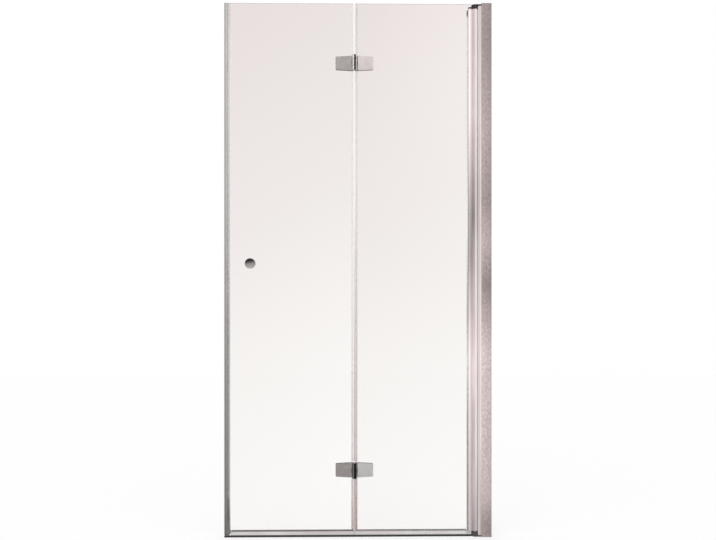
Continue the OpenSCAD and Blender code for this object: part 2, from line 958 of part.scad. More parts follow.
module lower_swing_clamp() clamp(hinge_z[0], -1);

module upper_swing_clamp() clamp(hinge_z[1], -1);

module lower_fixed_pads() pads(hinge_z[0], 1);

module upper_fixed_pads() pads(hinge_z[1], 1);

module lower_swing_pads() pads(hinge_z[0], -1);

module upper_swing_pads() pads(hinge_z[1], -1);

module lower_fixed_screws() clamp_screws(hinge_z[0], 1);

module upper_fixed_screws() clamp_screws(hinge_z[1], 1);

module lower_swing_screws() clamp_screws(hinge_z[0], -1);

module upper_swing_screws() clamp_screws(hinge_z[1], -1);

module lower_hinge_pin() hinge_pin(hinge_z[0]);

module upper_hinge_pin() hinge_pin(hinge_z[1]);

// ---- Knob ----

// Half section of a knob, from its foot on the washer to its swelling face
function knob_section(r, len) = concat(
    [[0, 0], [knob_neck_r + 2, 0], [knob_neck_r + 2, 1.5], [knob_neck_r, 2.5],
        [knob_neck_r, len * 0.34], [r - 2, len * 0.52],
        [r - 0.5, len * 0.56], [r, len * 0.6]],
    [for (a = [0:15:90])
        [r - knob_round * (1 - cos(a)), len - knob_crown - knob_round * (1 - sin(a))]],
    [for (i = [1:6])
        [(r - knob_round) * (1 - i / 6), len - knob_crown * pow(1 - i / 6, 2)]]
);

module knob(side, r, len) {
    color([0.66, 0.65, 0.64])
        translate([knob_x, side * knob_back, knob_height])
            rotate([-90 * side, 0, 0])
                difference() {
                    rotate_extrude() polygon(knob_section(r, len));
                    translate([0, 0, -1])
                        cylinder(r = stud_d / 2 + press, h = len / 2 + 1);
                }
}

module outer_knob() knob(-1, knob_d / 2, knob_len);

module inner_knob() knob(1, inner_knob_d / 2, inner_knob_len);

module knob_stud() {
    outer_end = knob_back + knob_len / 2 - 0.5;
    inner_end = knob_back + inner_knob_len / 2 - 0.5;
    color([0.75, 0.75, 0.76]) bar_y(knob_x, knob_height, stud_d / 2, -outer_end, inner_end);
}

module knob_washers() {
    color([0.85, 0.85, 0.84])
        for (y = [-knob_back, glass_half])
            difference() {
                bar_y(knob_x, knob_height, knob_neck_r + 2.5, y, y + knob_washer_t);
                bar_y(knob_x, knob_height, stud_d / 2 + slip, y - 1, y + knob_washer_t + 1);
            }
}

wall_channel();
channel_cap();
expander();
expander_screws();
screw_covers();
top_pivot_block();
bottom_pivot_block();
block_screws();
pivot_bushes();
thrust_washer();
threshold();
threshold_seal();
threshold_end_cap();
pivot_glass();
carrier_profile();
glazing_gasket();
top_plug();
bottom_plug();
pivot_pins();
pivot_meeting_seal();
pivot_rail();
pivot_rail_gasket();
pivot_rail_wiper();
pivot_rail_caps();
pivot_glass_sleeves();
upper_fixed_wing();
lower_fixed_wing();
upper_fixed_clamp();
lower_fixed_clamp();
upper_fixed_pads();
lower_fixed_pads();
upper_fixed_screws();
lower_fixed_screws();
upper_hinge_pin();
lower_hinge_pin();
hinge_washers();
hinge_pin_caps();
folding_glass();
folding_meeting_seal();
folding_rail();
folding_rail_gasket();
folding_rail_wiper();
folding_rail_caps();
folding_glass_sleeves();
magnetic_seal();
magnet_strip();
magnetic_seal_ends();
upper_swing_wing();
lower_swing_wing();
upper_swing_clamp();
lower_swing_clamp();
upper_swing_pads();
lower_swing_pads();
upper_swing_screws();
lower_swing_screws();
outer_knob();
inner_knob();
knob_stud();
knob_washers();
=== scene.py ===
# %% [markdown]
# # A bifold shower door
# Two panes of toughened glass hang between a wall channel and a closing strip. They fold in
# the middle on two metal hinges, and the leaf next to the wall turns in a round seat.
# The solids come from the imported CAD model, which is loaded here as a fixed frame.
# Everything added below sits on that frame, in metres, with Z up and the room at -Y.

# %% Load the frame
import json
import math

import bpy
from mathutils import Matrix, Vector

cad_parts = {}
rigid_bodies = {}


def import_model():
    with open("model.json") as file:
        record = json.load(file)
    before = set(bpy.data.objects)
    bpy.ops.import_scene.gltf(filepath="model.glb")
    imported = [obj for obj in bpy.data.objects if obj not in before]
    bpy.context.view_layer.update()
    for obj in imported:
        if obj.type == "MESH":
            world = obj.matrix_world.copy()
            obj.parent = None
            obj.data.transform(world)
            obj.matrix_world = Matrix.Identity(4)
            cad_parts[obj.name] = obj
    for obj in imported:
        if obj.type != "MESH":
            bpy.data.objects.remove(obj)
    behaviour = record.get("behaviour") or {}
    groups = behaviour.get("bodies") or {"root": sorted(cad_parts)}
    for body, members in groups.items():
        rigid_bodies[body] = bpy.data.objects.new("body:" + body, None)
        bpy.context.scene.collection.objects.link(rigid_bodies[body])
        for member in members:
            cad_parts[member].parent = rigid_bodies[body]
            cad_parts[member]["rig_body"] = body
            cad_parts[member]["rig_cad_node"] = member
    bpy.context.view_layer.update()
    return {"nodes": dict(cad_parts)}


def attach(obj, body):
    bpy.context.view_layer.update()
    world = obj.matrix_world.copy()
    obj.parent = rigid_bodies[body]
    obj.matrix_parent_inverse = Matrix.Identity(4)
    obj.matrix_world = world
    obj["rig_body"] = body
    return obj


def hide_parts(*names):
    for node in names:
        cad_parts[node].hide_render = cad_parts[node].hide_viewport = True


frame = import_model()
nodes = frame["nodes"]

# %% [markdown]
# ## The camera
# The photograph looks almost straight at the door: its uprights are upright, but the wall side
# is drawn a little smaller than the other side. So the camera stands well back, at half the
# door's height, a touch less than one degree round to the left of straight on.
# The lens is chosen so that the door fills the frame as it does in the photograph.

# %% Camera
VIEW_BACK, VIEW_HEIGHT = 2.8, 0.95
VIEW_TURN = math.radians(0.9)
PIXELS_WIDE = 716
PIXELS_PER_METRE = 280.1

eye = bpy.data.cameras.new("studio_camera")
eye.sensor_width = 36.0
eye.lens = PIXELS_PER_METRE * VIEW_BACK * eye.sensor_width / PIXELS_WIDE
camera = bpy.data.objects.new("studio_camera", eye)
bpy.context.scene.collection.objects.link(camera)
camera.location = (-VIEW_BACK * math.sin(VIEW_TURN), -VIEW_BACK * math.cos(VIEW_TURN), VIEW_HEIGHT)
camera.rotation_euler = (math.radians(90), 0.0, -VIEW_TURN)
bpy.context.scene.camera = camera
print("lens:", round(eye.lens, 1))

# %% [markdown]
# ## Floor, backdrop and light
# The photograph's background is plain white. A white world does that for the camera, for
# reflections and for what is seen through glass, where a strength of 1 is exactly white.
# The metal mirrors the room in front of it too. Above the horizon that is a little dimmer on
# its left than on its right, as the hinge wings are in the photograph. Below the horizon and
# behind the door it isn't dimmed.
# The light that falls on the door itself is weaker, so that colours keep the value they are
# written with, and a few broad lamps let the edges turn.
# The floor is a grey that takes the door's shadow, and it glows for the camera so that it
# shows as pale as the backdrop.

# %% Sums on nodes
def math_node(tree, operation, first, second):
    """One Math node; each input is a number or another node's output."""
    node = tree.nodes.new("ShaderNodeMath")
    node.operation = operation
    for socket, value in zip(node.inputs, (first, second)):
        if isinstance(value, (int, float)):
            socket.default_value = value
        else:
            tree.links.new(value, socket)
    return node.outputs[0]


def spread(tree, value, low, high, start=0.0, end=1.0):
    """Maps a value that runs from start to end onto low to high."""
    node = tree.nodes.new("ShaderNodeMapRange")
    for name, number in (("From Min", start), ("From Max", end), ("To Min", low), ("To Max", high)):
        node.inputs[name].default_value = number
    tree.links.new(value, node.inputs["Value"])
    return node.outputs["Result"]


# %% World
SKY_LEVEL = 0.72
ROOM_LEFT, ROOM_RIGHT, ROOM_TURN = 0.8, 1.2, 0.5
DIMMED_ABOVE = 0.25
BEHIND_START, BEHIND_END = -0.1, 0.25

world = bpy.data.worlds.new("studio_world")
world.use_nodes = True
bpy.context.scene.world = world
tree = world.node_tree
path = tree.nodes.new("ShaderNodeLightPath")
where = tree.nodes.new("ShaderNodeTexCoord")
axes = tree.nodes.new("ShaderNodeSeparateXYZ")
tree.links.new(where.outputs["Generated"], axes.inputs[0])
side = spread(tree, axes.outputs["X"], ROOM_LEFT - 1.0, ROOM_RIGHT - 1.0, -ROOM_TURN, ROOM_TURN)
rising = spread(tree, axes.outputs["Z"], 0.0, 1.0, 0.0, DIMMED_ABOVE)
side = math_node(tree, "ADD", 1.0, math_node(tree, "MULTIPLY", side, rising))
behind = spread(tree, axes.outputs["Y"], 0.0, 1.0, BEHIND_START, BEHIND_END)
room = math_node(tree, "MAXIMUM", side, behind)
mirrored = math_node(tree, "MULTIPLY", room, path.outputs["Is Glossy Ray"])
direct = math_node(tree, "MAXIMUM", path.outputs["Is Camera Ray"], path.outputs["Is Transmission Ray"])
shown = math_node(tree, "MAXIMUM", direct, mirrored)
not_mirrored = math_node(tree, "SUBTRACT", 1.0, path.outputs["Is Glossy Ray"])
soft_light = math_node(tree, "MULTIPLY", not_mirrored, SKY_LEVEL)
strength = math_node(tree, "MAXIMUM", shown, soft_light)
tree.links.new(strength, tree.nodes["Background"].inputs["Strength"])
tree.nodes["Background"].inputs["Color"].default_value = (1.0, 1.0, 1.0, 1.0)
bpy.context.scene.view_settings.view_transform = "Standard"
print("world:", world.name, "light on the door:", SKY_LEVEL)

# %% Floor
FLOOR_SIZE, FLOOR_DROP = 9.0, 0.0005
FLOOR_GREY, FLOOR_GLOW, FLOOR_ROUGH = 0.35, 0.675, 0.9

bpy.ops.object.select_all(action="DESELECT")
bpy.ops.mesh.primitive_plane_add(size=FLOOR_SIZE, location=(0.0, 0.0, -FLOOR_DROP))
floor = bpy.context.object
floor.name = "studio_floor"
floor_paint = bpy.data.materials.new("studio_floor_paint")
floor_paint.use_nodes = True
tree = floor_paint.node_tree
paint = tree.nodes["Principled BSDF"]
paint.inputs["Base Color"].default_value = (FLOOR_GREY, FLOOR_GREY, FLOOR_GREY, 1.0)
paint.inputs["Roughness"].default_value = FLOOR_ROUGH
paint.inputs["Specular IOR Level"].default_value = 0.0
paint.inputs["Emission Color"].default_value = (1.0, 1.0, 1.0, 1.0)
path = tree.nodes.new("ShaderNodeLightPath")
lift = math_node(tree, "MAXIMUM", path.outputs["Is Camera Ray"], path.outputs["Is Glossy Ray"])
lift = math_node(tree, "MAXIMUM", lift, path.outputs["Is Transmission Ray"])
lift = math_node(tree, "MULTIPLY", lift, FLOOR_GLOW)
tree.links.new(lift, paint.inputs["Emission Strength"])
floor.data.materials.append(floor_paint)
print("floor:", floor.name, "at", round(floor.location.z, 4))

# %% Lamps
# Each lamp has the way that its light travels, its power and its breadth in degrees.
LAMPS = {
    "key_lamp": ((0.55, 0.75, -0.55), 0.7, 60.0),
    "fill_lamp": ((-0.75, 0.55, -0.35), 0.25, 80.0),
    "rim_lamp": ((0.1, -0.8, -0.45), 0.3, 60.0),
}
for name, (travel, power, breadth) in LAMPS.items():
    lamp = bpy.data.lights.new(name, "SUN")
    lamp.energy = power
    lamp.angle = math.radians(breadth)
    holder = bpy.data.objects.new(name, lamp)
    bpy.context.scene.collection.objects.link(holder)
    holder.rotation_euler = Vector(travel).to_track_quat("-Z", "Y").to_euler()
    holder.visible_camera = holder.visible_transmission = holder.visible_glossy = False
print("lamps:", len(LAMPS))

# %% [markdown]
# ## Helpers for the finishes
# A finish is a Principled shader whose plain numbers sit on its own sockets. Its pattern comes
# from noise on Object coordinates, so that it lies still on the part and has a real scale:
# every number is per metre. A drawn profile has fine lines along its length, which is the
# same noise squeezed across the length and left long along it.
# A tone can also change over the part. A Color Ramp then reads the height of each point, or a
# Map Range its place along X, and the pattern's colour is scaled by that.

# %% A finish and its noise
finishes = {}


def new_finish(name, **sockets):
    """Adds a material with these plain values on its Principled shader."""
    finish = bpy.data.materials.new(name)
    finish.use_nodes = True
    shader = finish.node_tree.nodes["Principled BSDF"]
    for socket, value in sockets.items():
        shader.inputs[socket.replace("_", " ")].default_value = value
    finishes[name] = finish
    return finish.node_tree, shader


def grain(tree, scale, detail=2.0):
    """Noise from 0 to 1 whose grains per metre are given along X, Y and Z."""
    where = tree.nodes.new("ShaderNodeTexCoord")
    mapping = tree.nodes.new("ShaderNodeMapping")
    mapping.inputs["Scale"].default_value = scale
    noise = tree.nodes.new("ShaderNodeTexNoise")
    noise.inputs["Scale"].default_value = 1.0
    noise.inputs["Detail"].default_value = detail
    tree.links.new(where.outputs["Object"], mapping.inputs["Vector"])
    tree.links.new(mapping.outputs["Vector"], noise.inputs["Vector"])
    return noise.outputs["Fac"]


def mixed(tree, fine, cloud, share):
    """Fine grain and soft clouds as one value; share is the part of the fine grain."""
    return math_node(tree, "ADD", spread(tree, fine, 0.0, share), spread(tree, cloud, 0.0, 1.0 - share))


# %% Tones over the part
RAMP_TOP = 2.0


def place(tree, axis):
    """Where a point lies along X, Y or Z, in metres."""
    where = tree.nodes.new("ShaderNodeTexCoord")
    axes = tree.nodes.new("ShaderNodeSeparateXYZ")
    tree.links.new(where.outputs["Object"], axes.inputs[0])
    return axes.outputs[axis]


def tones(tree, value, stops):
    """A colour that goes through stops, each a value from 0 to 1 and the colour there."""
    ramp = tree.nodes.new("ShaderNodeValToRGB")
    marks = ramp.color_ramp.elements
    while len(marks) < len(stops):
        marks.new(0.5)
    for mark, (position, colour) in zip(marks, stops):
        mark.position = position
        mark.color = (*colour, 1.0)
    tree.links.new(value, ramp.inputs["Fac"])
    return ramp.outputs["Color"]


def by_height(tree, stops):
    """A value that follows stops, each a height in metres and the value there."""
    steps = [(metres / RAMP_TOP, (value, value, value)) for metres, value in sorted(stops)]
    return tones(tree, math_node(tree, "MULTIPLY", place(tree, "Z"), 1.0 / RAMP_TOP), steps)


def faded(tree, value, fade):
    """Scales a value along X; fade is where that starts and ends, and its two shares there."""
    if fade is None:
        return value
    start, end, low, high = fade
    return math_node(tree, "MULTIPLY", value, spread(tree, place(tree, "X"), low, high, start, end))


# %% Colour, roughness and relief
def scaled(tree, colour, value):
    """A colour made lighter or darker by a value."""
    node = tree.nodes.new("ShaderNodeVectorMath")
    node.operation = "SCALE"
    tree.links.new(colour, node.inputs[0])
    tree.links.new(value, node.inputs["Scale"])
    return node.outputs[0]


def coloured(tree, shader, value, dark, light, level=None, ends=(0.3, 0.7)):
    """A base colour that goes from dark to light with value, scaled by level."""
    colour = tones(tree, value, [(ends[0], dark), (ends[1], light)])
    if level is not None:
        colour = scaled(tree, colour, level)
    tree.links.new(colour, shader.inputs["Base Color"])


def roughened(tree, shader, value, rough):
    """A roughness that goes from the first to the second number with value."""
    tree.links.new(spread(tree, value, *rough), shader.inputs["Roughness"])


def relief(tree, shader, value, depth, strength=0.5):
    """Shades the surface as if value raised it by up to depth metres."""
    bump = tree.nodes.new("ShaderNodeBump")
    bump.inputs["Distance"].default_value = depth
    bump.inputs["Strength"].default_value = strength
    tree.links.new(value, bump.inputs["Height"])
    tree.links.new(bump.outputs["Normal"], shader.inputs["Normal"])


# %% [markdown]
# ## Satin aluminium
# The profiles are drawn through a die and anodised, which leaves a soft sheen, fine lines
# along the length and a faint warm cast, and the wall channel has a cloudy mottle. The
# photograph shows the uprights dimmer at two thirds of their height and brightest at one
# third, from the light they mirror. So each finish has a painted reflection that follows the
# height, with fine lines and clouds of noise over it.
# The narrow fold where the tube runs in its cup stays pale in the photograph whatever it
# mirrors, so its two finishes carry a painted highlight: they are lighter and only partly
# metallic.

# %% Drawn aluminium
LENGTHWAYS = (900.0, 900.0, 5.0)
CROSSWAYS = (5.0, 900.0, 900.0)
EVEN = [(0.0, 1.0), (1.9, 1.0)]


def satin_aluminium(
    name, lines, dark, light, by_level=EVEN, clouds=(30.0, 30.0, 9.0), rough=(0.26, 0.40),
    fade=None, metallic=1.0,
):
    """Drawn aluminium: dark and light are its clouds' tones, by_level its painted reflection by height."""
    tree, shader = new_finish(name, Metallic=metallic)
    streaks = grain(tree, lines)
    both = mixed(tree, streaks, grain(tree, clouds, 5.0), 0.35)
    level = faded(tree, by_height(tree, by_level), fade)
    coloured(tree, shader, both, dark, light, level, (0.36, 0.64))
    roughened(tree, shader, both, rough)
    relief(tree, shader, streaks, 0.00004)


# %% Finishes of the profiles
# Painted reflections: each profile's tone at each height in metres.
TUBE_REFLECTION_LEVELS = [(0.05, 0.46), (0.15, 0.65), (0.4, 0.66), (0.6, 0.98), (1.15, 0.33), (1.5, 0.86)]
JAW_REFLECTION_LEVELS = [(0.05, 0.66), (0.35, 0.84), (0.65, 1.08), (1.0, 0.5), (1.15, 0.52), (1.5, 1.08)]
LIP_REFLECTION_LEVELS = [(0.05, 0.48), (0.35, 0.82), (0.65, 0.92), (1.0, 0.74), (1.4, 0.8), (1.8, 0.68)]
CHANNEL_REFLECTION_LEVELS = [
    (0.05, 0.4), (0.15, 0.65), (0.65, 0.78), (0.9, 0.36), (1.05, 0.6), (1.2, 0.42), (1.45, 0.55),
    (1.75, 0.4),
]
FOLD_HIGHLIGHT_LEVELS = [(0.05, 0.6), (0.3, 0.9), (0.65, 1.0), (1.0, 0.85), (1.15, 0.68), (1.5, 0.88)]
CUP_HIGHLIGHT_LEVELS = [(0.05, 0.78), (0.7, 0.9), (1.2, 0.68), (1.5, 0.84)]
# Along X: where the painted highlights on the jaw and lip, and the painted light across the
# channel, start and end their change, and their shares at those two places.
JAW_PAINTED_HIGHLIGHT = (0.4005, 0.4025, 1.0, 0.7)
LIP_PAINTED_HIGHLIGHT = (0.4335, 0.4355, 0.8, 1.16)
CHANNEL_PAINTED_LIGHT = (0.4395, 0.475, 1.1, 0.87)
CHANNEL_LINES, CHANNEL_CLOUDS = (900.0, 900.0, 14.0), (170.0, 170.0, 85.0)

satin_aluminium("satin_tube", LENGTHWAYS, (0.88, 0.70, 0.71), (1.0, 0.85, 0.85), TUBE_REFLECTION_LEVELS)
satin_aluminium(
    "satin_jaw_painted_highlight", LENGTHWAYS, (0.96, 0.85, 0.85), (1.0, 0.91, 0.90), JAW_REFLECTION_LEVELS, fade=JAW_PAINTED_HIGHLIGHT)
satin_aluminium(
    "satin_lip", LENGTHWAYS, (0.88, 0.76, 0.75), (1.0, 0.90, 0.885), LIP_REFLECTION_LEVELS, fade=LIP_PAINTED_HIGHLIGHT)
satin_aluminium(
    "fold_painted_highlight", LENGTHWAYS, (0.98, 0.88, 0.88), (1.0, 0.95, 0.94), FOLD_HIGHLIGHT_LEVELS, metallic=0.55)
satin_aluminium(
    "cup_painted_highlight", LENGTHWAYS, (0.98, 0.86, 0.86), (1.0, 0.92, 0.91), CUP_HIGHLIGHT_LEVELS, metallic=0.3)
satin_aluminium(
    "satin_rail", CROSSWAYS, (0.60, 0.56, 0.56), (0.76, 0.73, 0.73), clouds=(9.0, 30.0, 30.0))
satin_aluminium(
    "mottled_channel", CHANNEL_LINES, (0.73, 0.595, 0.60), (1.09, 0.925, 0.91), CHANNEL_REFLECTION_LEVELS,
    clouds=CHANNEL_CLOUDS, rough=(0.28, 0.46), fade=CHANNEL_PAINTED_LIGHT,
)
print("aluminium finishes:", sorted(finishes))

# %% [markdown]
# ## Satin chrome and steel
# The hinges and knobs are brass with a satin chrome plating: grey, smooth and brushed upright.
# In the photograph the wings next to the wall are lighter than the others, the lower one of
# them is a plainer grey, and the lower hinge is darker than the upper one. All are one satin
# chrome, with painted light on the lighter wings and painted shade on the darker ones and low
# down. Beside their barrel these wings get a painted reflection of its dark band, so their tone
# drops there, and a scoop has painted shade that is almost black.
# Screws and pins are plain steel, a little brighter, with only a trace of turning marks.

# %% Chrome and steel
BRUSHED = (1500.0, 1500.0, 60.0)
FINE = (900.0, 900.0, 900.0)
SATIN = (0.30, 0.44)
# The painted reflection of the barrel's dark band beside it: where along X it starts and ends,
# and the tone's shares there.
UPPER_WING_PAINTED_REFLECTION = (-0.0035, 0.0012, 0.15, 1.0)
LOWER_WING_PAINTED_REFLECTION = (-0.0035, 0.0, 0.3, 1.0)


def plated_metal(name, lines, dark, light, rough, by_level=EVEN, fade=None):
    """Plated or turned metal: fine marks over soft clouds."""
    tree, shader = new_finish(name, Metallic=1.0)
    brush = grain(tree, lines, 3.0)
    both = mixed(tree, brush, grain(tree, (60.0, 60.0, 60.0)), 0.6)
    level = faded(tree, by_height(tree, by_level), fade)
    coloured(tree, shader, both, dark, light, level)
    roughened(tree, shader, both, rough)
    relief(tree, shader, brush, 0.00002, 0.35)


# Painted shade on the dim chrome, darker low down; painted light on the two lighter ones.
plated_metal(
    "chrome_painted_shade", BRUSHED, (0.34, 0.31, 0.305), (0.52, 0.48, 0.47), SATIN, [(0.3, 0.74), (1.6, 1.0)])
plated_metal(
    "chrome_painted_light", BRUSHED, (0.57, 0.51, 0.51), (0.75, 0.69, 0.68), SATIN, fade=UPPER_WING_PAINTED_REFLECTION)
plated_metal(
    "grey_chrome_painted_light", BRUSHED, (0.44, 0.43, 0.425), (0.60, 0.59, 0.585), SATIN, fade=LOWER_WING_PAINTED_REFLECTION)
# Painted shade: the scoop beside the barrel, almost black.
plated_metal("scoop_painted_shade", FINE, (0.05, 0.04, 0.04), (0.10, 0.085, 0.085), (0.2, 0.3))
plated_metal("plain_steel", FINE, (0.56, 0.56, 0.57), (0.70, 0.70, 0.71), (0.20, 0.34))
print("finishes with the metals:", len(finishes))

# %% [markdown]
# ## Polished plating
# The knob's face and the barrels in the fold are polished, so they carry the sharp picture of
# a room with dark and light parts: the photograph shows the knob black along its top left and
# each barrel with a black band between two white ones. A plain studio has nothing so dark in
# it, so the bands are put into the plating's own tone, across the piece, and a little noise
# bends them.

# %% Polished plating
PIN_X, PIN_Y, BARREL_R = -0.013, -0.014, 0.0085
KNOB_X, KNOB_Z, KNOB_R = -0.382, 0.973, 0.0185
KNOB_SLANT = -0.1
WARM_CAST = (1.0, 0.95, 0.94)
WAVER = 0.05


def banded_metal(name, way, start, end, stops, rough, by_level=EVEN):
    """Polished metal whose tone follows stops from start to end; way is its way along X and Z."""
    tree, shader = new_finish(name, Metallic=1.0)
    along = math_node(
        tree, "ADD", math_node(tree, "MULTIPLY", place(tree, "X"), way[0]),
        math_node(tree, "MULTIPLY", place(tree, "Z"), way[1]),
    )
    bend = spread(tree, grain(tree, (140.0, 140.0, 90.0)), -WAVER, WAVER)
    share = math_node(tree, "ADD", spread(tree, along, 0.0, 1.0, start, end), bend)
    colour = tones(tree, share, [(at, tuple(tone * part for part in WARM_CAST)) for at, tone in stops])
    colour = scaled(tree, colour, by_height(tree, by_level))
    tree.links.new(colour, shader.inputs["Base Color"])
    roughened(tree, shader, grain(tree, FINE), rough)


# Painted reflections: the barrel's bands, painted darker on the lower barrel.
banded_metal(
    "polished_barrel", (1.0, 0.0), PIN_X - BARREL_R, PIN_X + BARREL_R,
    [(0.0, 0.4), (0.12, 0.8), (0.28, 0.95), (0.4, 0.95), (0.46, 0.012), (0.8, 0.012), (0.86, 0.9)],
    (0.06, 0.12), [(0.3, 0.16), (1.6, 1.0)],
)
knob_middle = KNOB_SLANT * KNOB_X + KNOB_Z
banded_metal(
    "polished_knob", (KNOB_SLANT, 1.0), knob_middle - KNOB_R, knob_middle + KNOB_R,
    [(0.0, 0.55), (0.2, 0.4), (0.45, 0.3), (0.62, 0.12), (0.8, 0.02), (1.0, 0.08)],
    (0.10, 0.2),
)
print("finishes with the polished ones:", len(finishes))

# %% [markdown]
# ## Glass
# Each pane is 6 mm of clear toughened glass. In the photograph it is a faint warm grey at its
# top left and almost clear at its bottom right, the same on both panes, so a painted reflection
# in the glass's colour falls along a slanting line across each pane. Real glass lets lamplight
# through, which Cycles would show only as slow caustics, so a Transparent shader stands in for
# rays that come from lamps.
# The ground edge of a pane is only partly clear, with a grey-green frost.

# %% Glass
# Painted reflection in the glass's colour, from its top left to its bottom right.
PANE_REFLECTIONS = [
    (0.0, (1.0, 0.99, 0.98)), (0.30, (0.94, 0.92, 0.90)), (0.62, (0.86, 0.815, 0.80)),
    (1.0, (0.80, 0.735, 0.72)),
]
REFLECTION_LOW, REFLECTION_HIGH, REFLECTION_SLANT = -0.25, 1.9, 0.6
FOLDING_PANE_LEFT, PIVOT_PANE_LEFT = -0.4645, -0.0085
LAMP_TINT = (0.93, 0.92, 0.92, 1.0)


def let_lamps_through(tree, shader):
    """Mixes in a Transparent shader for rays that go to a lamp."""
    path = tree.nodes.new("ShaderNodeLightPath")
    window = tree.nodes.new("ShaderNodeBsdfTransparent")
    window.inputs["Color"].default_value = LAMP_TINT
    mix = tree.nodes.new("ShaderNodeMixShader")
    tree.links.new(path.outputs["Is Shadow Ray"], mix.inputs[0])
    tree.links.new(shader.outputs[0], mix.inputs[1])
    tree.links.new(window.outputs[0], mix.inputs[2])
    tree.links.new(mix.outputs[0], tree.nodes["Material Output"].inputs["Surface"])


def pane_glass(name, left_x):
    """Clear glass with a painted reflection that fades from its top left corner to its bottom right one."""
    tree, shader = new_finish(name, Roughness=0.0, IOR=1.45, Transmission_Weight=1.0)
    across = math_node(tree, "SUBTRACT", place(tree, "X"), left_x)
    fall = math_node(tree, "MULTIPLY", across, REFLECTION_SLANT)
    slant = math_node(tree, "SUBTRACT", place(tree, "Z"), fall)
    painted_reflection = tones(tree, spread(tree, slant, 0.0, 1.0, REFLECTION_LOW, REFLECTION_HIGH), PANE_REFLECTIONS)
    tree.links.new(painted_reflection, shader.inputs["Base Color"])
    let_lamps_through(tree, shader)


pane_glass("folding_pane_glass", FOLDING_PANE_LEFT)
pane_glass("pivot_pane_glass", PIVOT_PANE_LEFT)
print("finishes with the panes:", len(finishes))

# %% Ground glass
tree, shader = new_finish("ground_glass_edge", IOR=1.45, Transmission_Weight=0.6)
frost = grain(tree, FINE)
coloured(tree, shader, frost, (0.36, 0.44, 0.42), (0.55, 0.62, 0.60), ends=(0.2, 0.8))
roughened(tree, shader, frost, (0.25, 0.5))
let_lamps_through(tree, shader)
print("finishes with the glass:", len(finishes))

# %% [markdown]
# ## See-through vinyl
# The seals in the fold, the closing strip's clip, the gasket beside the tube and the wipers
# under the rails are see-through vinyl. The shader's Alpha is how much such a piece covers of
# what lies behind it, and two layers cover more than one. In the photograph most of them show
# more strongly in their lower half, so the cover follows the height.
# Each fold seal has a bulb on the side that faces the other pane, which has its own cover. The
# clip gets thinner away from the strip, so its cover fades along X.

# %% See-through vinyl
def clear_vinyl(name, dark, light, cover, fade=None, bulb=None):
    """Vinyl whose cover is how much it hides, at each height or all over.

    bulb is where along X a bulb stops and the rest starts, and the bulb's own cover.
    """
    tree, shader = new_finish(name, IOR=1.5)
    haze = grain(tree, (500.0, 500.0, 12.0))
    coloured(tree, shader, haze, dark, light)
    roughened(tree, shader, haze, (0.12, 0.3))
    if isinstance(cover, float):
        shader.inputs["Alpha"].default_value = cover
        return
    hides = faded(tree, by_height(tree, cover), fade)
    if bulb:
        bulb_end, rest_start, bulb_cover = bulb
        share = spread(tree, place(tree, "X"), 1.0, 0.0, bulb_end, rest_start)
        rest = math_node(tree, "MULTIPLY", hides, math_node(tree, "SUBTRACT", 1.0, share))
        own = math_node(tree, "MULTIPLY", by_height(tree, bulb_cover), share)
        hides = math_node(tree, "ADD", rest, own)
    tree.links.new(hides, shader.inputs["Alpha"])


# %% Finishes of the vinyl pieces
SEAL_DARK, SEAL_LIGHT = (0.50, 0.36, 0.36), (0.68, 0.52, 0.51)
PIVOT_SEAL = [(0.05, 0.33), (0.3, 0.19), (0.7, 0.15), (1.0, 0.11), (1.3, 0.06), (1.9, 0.09)]
PIVOT_BULB = [(0.05, 0.9), (0.3, 0.9), (0.6, 0.5), (1.0, 0.22), (1.15, 0.07), (1.9, 0.04)]
FOLDING_SEAL = [(0.05, 0.26), (0.14, 0.18), (0.3, 0.12), (1.0, 0.06), (1.9, 0.05)]
FOLDING_BULB = [(0.05, 0.4), (0.3, 0.25), (0.6, 0.1), (1.0, 0.07), (1.15, 0.05), (1.9, 0.05)]
CLIP_COVER = [(0.03, 0.8), (0.15, 0.34), (0.7, 0.26), (1.0, 0.17), (1.5, 0.09)]
GASKET_COVER = [
    (0.05, 0.29), (0.4, 0.24), (0.62, 0.06), (0.8, 0.2), (1.1, 0.02), (1.45, 0.07), (1.856, 0.05),
    (1.866, 0.7),
]
WIPER_COVER = 0.7
# Along X: where the clip starts and ends its fading, and where a bulb stops and its rest starts.
CLIP_FADE = (-0.4584, -0.4556, 1.0, 0.14)
PIVOT_BULB_END, PIVOT_REST_START = -0.0112, -0.0104
FOLDING_BULB_END, FOLDING_REST_START = -0.0141, -0.0147

clear_vinyl(
    "pivot_fold_seal", SEAL_DARK, SEAL_LIGHT, PIVOT_SEAL,
    bulb=(PIVOT_BULB_END, PIVOT_REST_START, PIVOT_BULB),
)
clear_vinyl(
    "folding_fold_seal", SEAL_DARK, SEAL_LIGHT, FOLDING_SEAL,
    bulb=(FOLDING_BULB_END, FOLDING_REST_START, FOLDING_BULB),
)
clear_vinyl("clear_clip", (0.20, 0.185, 0.18), (0.30, 0.28, 0.275), CLIP_COVER, fade=CLIP_FADE)
clear_vinyl("glazing_vinyl", (0.26, 0.235, 0.23), (0.36, 0.33, 0.325), GASKET_COVER)
clear_vinyl("milky_wiper", (0.55, 0.54, 0.53), (0.68, 0.67, 0.66), WIPER_COVER)
print("finishes with the vinyl:", len(finishes))

# %% [markdown]
# ## Plastic and rubber
# The pivot blocks are black nylon, and the screw covers and washers white or grey plastic.
# Moulded parts have a fine spark-eroded grain, and the rubber strips along the tray are dull
# with faint lines along their length. Where dust lies on the lower block, the grain is coarse.

# %% Moulded finishes
ALONG_RAIL = (7.0, 1200.0, 1200.0)
DUST = (180.0, 180.0, 180.0)


